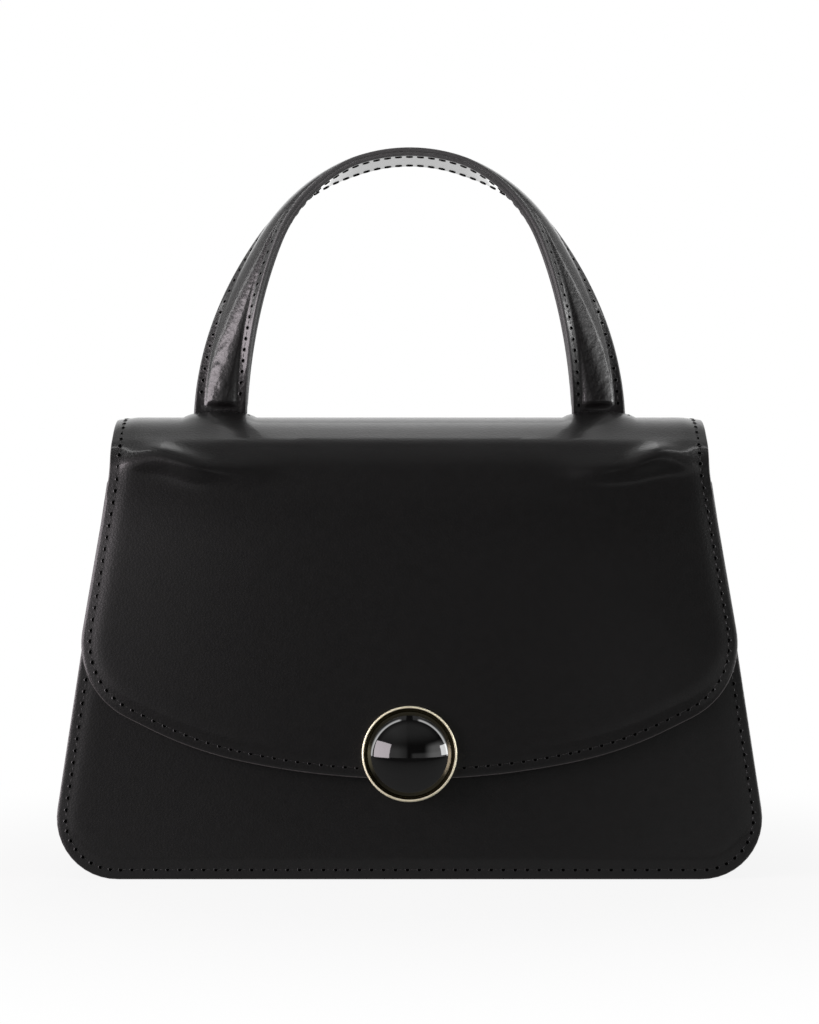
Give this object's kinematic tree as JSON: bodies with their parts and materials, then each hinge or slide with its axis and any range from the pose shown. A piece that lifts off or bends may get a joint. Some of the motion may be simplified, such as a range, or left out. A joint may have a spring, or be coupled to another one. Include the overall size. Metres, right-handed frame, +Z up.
{
  "type": "top handle bag",
  "caption": "Small structured black leather bag with a rounded flap, a domed stone clasp in a gold rim and an arched padded handle set into the flap.",
  "frame": {"origin": "on the ground, under the middle of the overall width and depth", "axes": "+X to the right seen from the front, +Y to the back, +Z up"},
  "size_m": [0.2358, 0.0922, 0.2498],
  "materials": {
    "black_leather": "polished smooth calf leather",
    "black_lining_leather": "smooth lining leather",
    "black_lining_cloth": "fine twill lining",
    "fibre_board": "leather fibre board",
    "handle_padding": "closed cell foam cord",
    "gilt_brass": "pale gold plated, polished",
    "black_stone": "polished black resin stone",
    "plated_steel": "nickel plated"
  },
  "bodies": {
    "bag": {"front_panel": "black_leather", "front_board": "fibre_board", "front_lining": "black_lining_cloth", "back_panel": "black_leather", "back_board": "fibre_board", "back_lining": "black_lining_cloth", "gusset": "black_leather", "gusset_lining": "black_lining_cloth", "base_shaper": "black_lining_cloth", "slip_pocket": "black_lining_cloth", "snap_socket": "gilt_brass", "snap_magnet": "plated_steel", "snap_washer": "plated_steel"},
    "flap": {"flap_outer": "black_leather", "flap_board": "fibre_board", "crest_board": "fibre_board", "flap_lining": "black_lining_leather", "left_handle_tail": "black_leather", "right_handle_tail": "black_leather", "clasp_cup": "gilt_brass", "clasp_cabochon": "black_stone", "snap_stud": "gilt_brass"},
    "handle": {"handle_strap": "black_leather", "handle_core": "handle_padding", "handle_lining": "black_lining_leather"}
  },
  "joints": [
    {"name": "flap_hinge", "type": "hinge", "parent": "bag", "child": "flap", "pos_m": [0, 0.03287, 0.13736], "axis": [-1, 0, 0], "range_deg": [0, 140]},
    {"name": "handle_tilt", "type": "hinge", "parent": "flap", "child": "handle", "pos_m": [0, 0.00443, 0.155], "axis": [-1, 0, 0], "range_deg": [-35, 30]}
  ]
}
